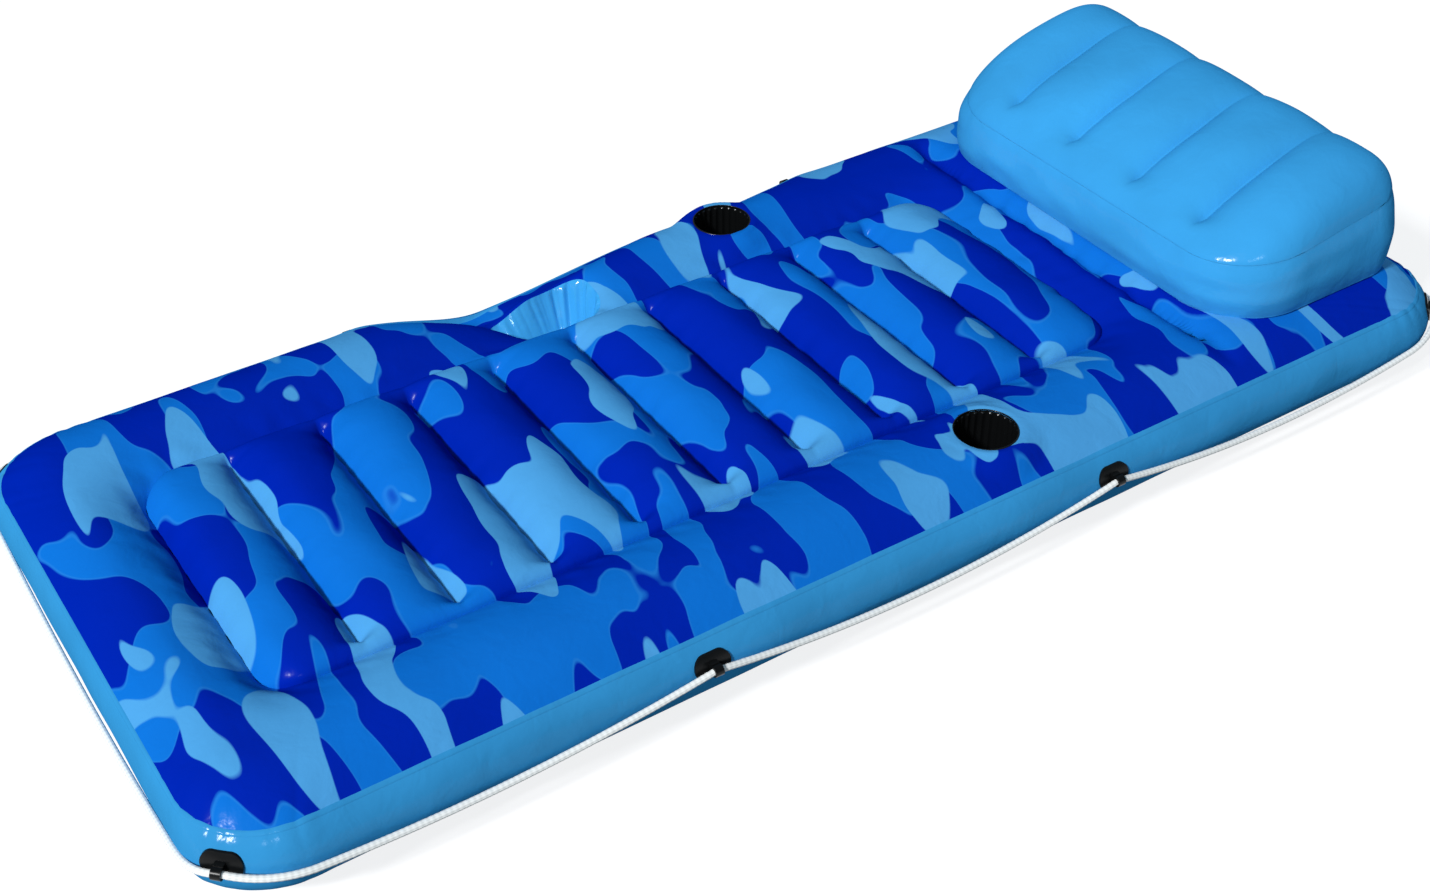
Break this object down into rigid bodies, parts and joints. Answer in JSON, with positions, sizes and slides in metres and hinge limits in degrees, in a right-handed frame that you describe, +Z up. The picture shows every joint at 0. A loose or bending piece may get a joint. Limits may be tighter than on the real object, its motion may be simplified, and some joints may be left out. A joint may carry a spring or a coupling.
{
  "type": "inflatable pool lounge float",
  "caption": "Inflatable pool lounge float with a channelled lie-on panel, raised pillow, fluted cup holders, ice well and a grab line round the sides.",
  "frame": {"origin": "middle of the bounding box, on the surface that the float lies on", "axes": "+X to the pillow end, +Y to the side with the ice well, +Z up"},
  "size_m": [2.239, 0.9918, 0.3948],
  "materials": {
    "sky_vinyl": "glossy",
    "printed_vinyl": "glossy print in three blues",
    "inner_vinyl": "glossy",
    "cup_pvc": "semi-gloss",
    "patch_rubber": "satin",
    "rope": "braided",
    "sleeve_plastic": "matte",
    "valve_plastic": "satin",
    "gasket_rubber": "matte",
    "clear_pvc": "glossy"
  },
  "bodies": {
    "float": {"base_sheet": "sky_vinyl", "side_band": "sky_vinyl", "deck_sheet": "printed_vinyl", "lounge_panel": "printed_vinyl", "chamber_wall": "inner_vinyl", "lounge_web_1": "inner_vinyl", "lounge_web_2": "inner_vinyl", "lounge_web_3": "inner_vinyl", "lounge_web_4": "inner_vinyl", "lounge_web_5": "inner_vinyl", "lounge_web_6": "inner_vinyl", "lounge_web_7": "inner_vinyl", "lounge_web_8": "inner_vinyl", "lounge_web_9": "inner_vinyl", "head_web": "inner_vinyl", "cup_near": "cup_pvc", "cup_far": "cup_pvc", "well_panel": "printed_vinyl", "well_liner": "sky_vinyl", "pillow_base": "sky_vinyl", "pillow_band": "sky_vinyl", "pillow_top": "sky_vinyl", "pillow_web_1": "inner_vinyl", "pillow_web_2": "inner_vinyl", "pillow_web_3": "inner_vinyl", "pillow_web_4": "inner_vinyl", "rope_patch_1": "patch_rubber", "rope_patch_2": "patch_rubber", "rope_patch_3": "patch_rubber", "rope_patch_4": "patch_rubber", "rope_patch_5": "patch_rubber", "rope_patch_6": "patch_rubber", "rope_patch_7": "patch_rubber", "rope_patch_8": "patch_rubber", "grab_line": "rope", "rope_sleeve": "sleeve_plastic", "valve_base": "valve_plastic", "stem_flange": "sky_vinyl"},
    "gasket": {"valve_gasket": "gasket_rubber"},
    "insert": {"valve_insert": "valve_plastic", "valve_tether": "valve_plastic"},
    "disc": {"valve_disc": "clear_pvc"},
    "cap": {"valve_cap": "valve_plastic"},
    "stem": {"valve_stem": "clear_pvc"},
    "plug": {"stem_plug": "clear_pvc"},
    "flap": {"stem_flap": "clear_pvc"}
  },
  "joints": [
    {"name": "insert_lift", "type": "slide", "parent": "float", "child": "gasket", "axis": [1, 0, 0], "range_m": [0, 0.006]},
    {"name": "insert_turn", "type": "hinge", "parent": "gasket", "child": "insert", "pos_m": [1.105, 0, 0.09], "axis": [1, 0, 0], "range_deg": [0, 720]},
    {"name": "disc_open", "type": "slide", "parent": "insert", "child": "disc", "axis": [-1, 0, 0], "range_m": [0, 0.004], "stiffness_N_per_m": 20},
    {"name": "cap_pull", "type": "slide", "parent": "insert", "child": "cap", "axis": [1, 0, 0], "range_m": [0, 0.014], "deforming": ["valve_tether"]},
    {"name": "stem_pull", "type": "slide", "parent": "float", "child": "stem", "axis": [0.9923, 0, 0.1237], "range_m": [0, 0.009]},
    {"name": "plug_pull", "type": "slide", "parent": "stem", "child": "plug", "axis": [0.9923, 0, 0.1237], "range_m": [0, 0.013]},
    {"name": "flap_swing", "type": "hinge", "parent": "stem", "child": "flap", "pos_m": [1.00002, 0.15, 0.26492], "axis": [0, 1, 0], "range_deg": [0, 60], "stiffness_Nm_per_rad": 0.0004}
  ],
  "couplings": [
    {"joint": "insert_turn", "follows": "insert_lift", "rad_per_m": 2094.4}
  ]
}
